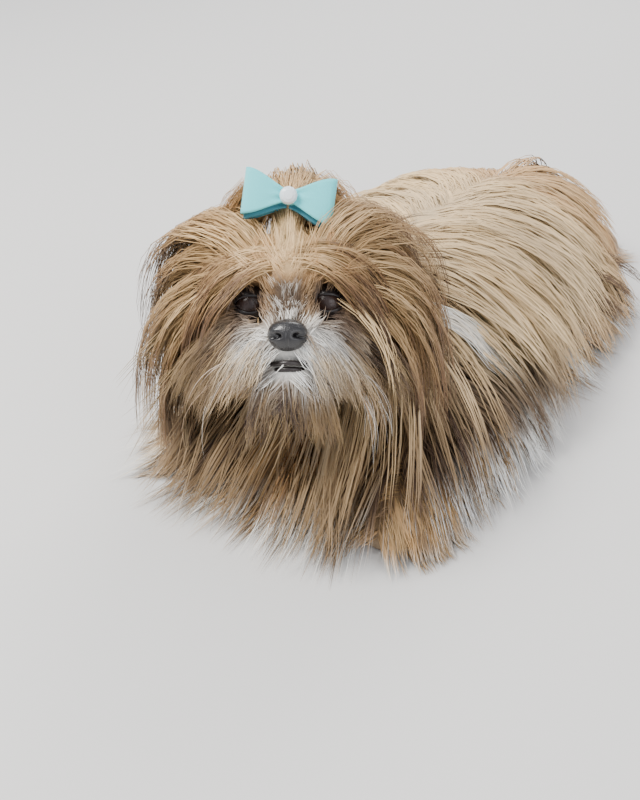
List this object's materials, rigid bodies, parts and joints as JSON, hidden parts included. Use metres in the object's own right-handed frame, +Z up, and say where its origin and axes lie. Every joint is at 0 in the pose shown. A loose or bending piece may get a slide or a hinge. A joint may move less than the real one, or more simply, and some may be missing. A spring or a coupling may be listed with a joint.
{
  "type": "shih tzu dog model",
  "caption": "Life-size still model of a long-coated shih tzu lying on its belly, head raised and turned to its left, a felt bow in its topknot.",
  "frame": {"origin": "on the floor, at the middle of the flat under the belly", "axes": "the dog faces -Y, its left side is +X, and +Z is up"},
  "size_m": [0.3441, 0.6671, 0.2458],
  "materials": {
    "coat_cream": "long silky hair, cream to silver-beige",
    "coat_gold": "long silky hair, golden",
    "coat_tan": "long silky hair, tan with dark roots",
    "coat_white": "soft white hair",
    "nose_leather": "moist black pebbled leather",
    "eye": "wet, near-black brown",
    "ribbon": "light aqua felt",
    "stone": "faceted clear stone"
  },
  "bodies": {
    "root": {"torso": "coat_cream", "neck": "coat_tan", "head": "coat_tan", "lower_jaw": "coat_cream", "ear_left": "coat_tan", "ear_right": "coat_tan", "topknot": "coat_gold", "eye_left": "eye", "eye_right": "eye", "nose": "nose_leather", "bow_stone": "stone", "bow_strap": "ribbon", "bow_loop_left": "ribbon", "bow_loop_right": "ribbon", "foreleg_left": "coat_gold", "foreleg_right": "coat_gold", "forepaw_left": "coat_white", "forepaw_right": "coat_white", "hindleg_left": "coat_gold", "hindleg_right": "coat_gold", "hindpaw_left": "coat_white", "hindpaw_right": "coat_white", "tail": "coat_gold"}
  },
  "joints": []
}
